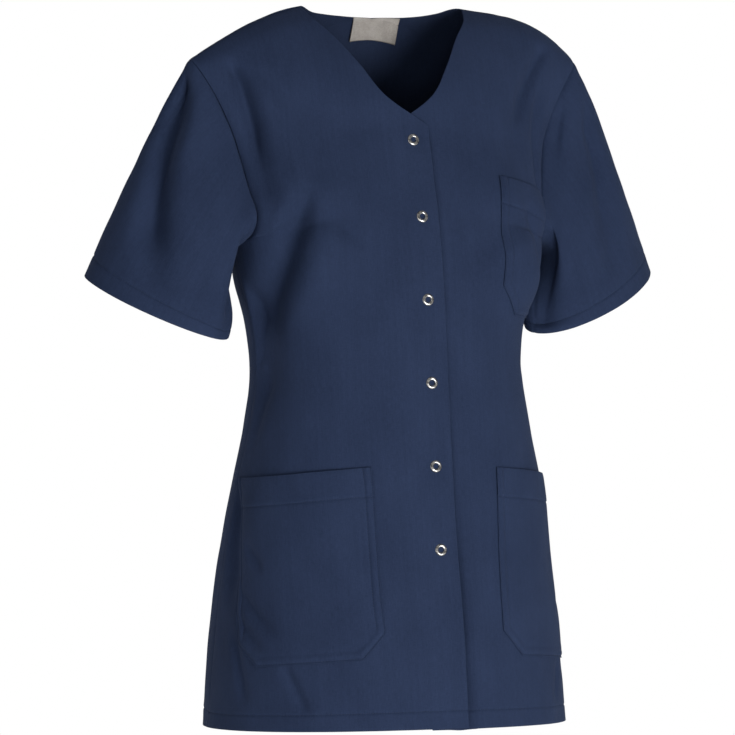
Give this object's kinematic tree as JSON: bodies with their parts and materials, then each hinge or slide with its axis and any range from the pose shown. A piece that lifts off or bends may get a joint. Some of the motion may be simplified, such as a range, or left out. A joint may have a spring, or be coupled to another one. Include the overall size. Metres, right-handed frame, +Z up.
{
  "type": "work tunic",
  "caption": "Short-sleeved navy work tunic, V-neck, front closed with press studs, patch pockets on chest and hips, hanging open and hollow as worn.",
  "frame": {"origin": "midway between the two shoulder seams, at the middle of their slope, where the wearer's shoulders carry the tunic", "axes": "+X to the wearer's left, -Y the way the front faces, +Z up"},
  "size_m": [0.6427, 0.2915, 0.7369],
  "materials": {
    "navy_cloth": "matte woven poly-cotton",
    "label_cloth": "satin woven tape, bare",
    "nickel": "nickel plated, softly worn"
  },
  "bodies": {
    "root": {"right_front": "navy_cloth", "left_front": "navy_cloth", "back": "navy_cloth", "right_sleeve": "navy_cloth", "left_sleeve": "navy_cloth", "right_pocket": "navy_cloth", "left_pocket": "navy_cloth", "chest_pocket": "navy_cloth", "neck_label": "label_cloth", "stud_cap_1": "nickel", "stud_post_1": "nickel", "stud_back_1": "nickel", "stud_cap_2": "nickel", "stud_post_2": "nickel", "stud_back_2": "nickel", "stud_cap_3": "nickel", "stud_post_3": "nickel", "stud_back_3": "nickel", "stud_cap_4": "nickel", "stud_post_4": "nickel", "stud_back_4": "nickel", "stud_cap_5": "nickel", "stud_post_5": "nickel", "stud_back_5": "nickel", "stud_cap_6": "nickel", "stud_post_6": "nickel", "stud_back_6": "nickel"}
  },
  "joints": []
}
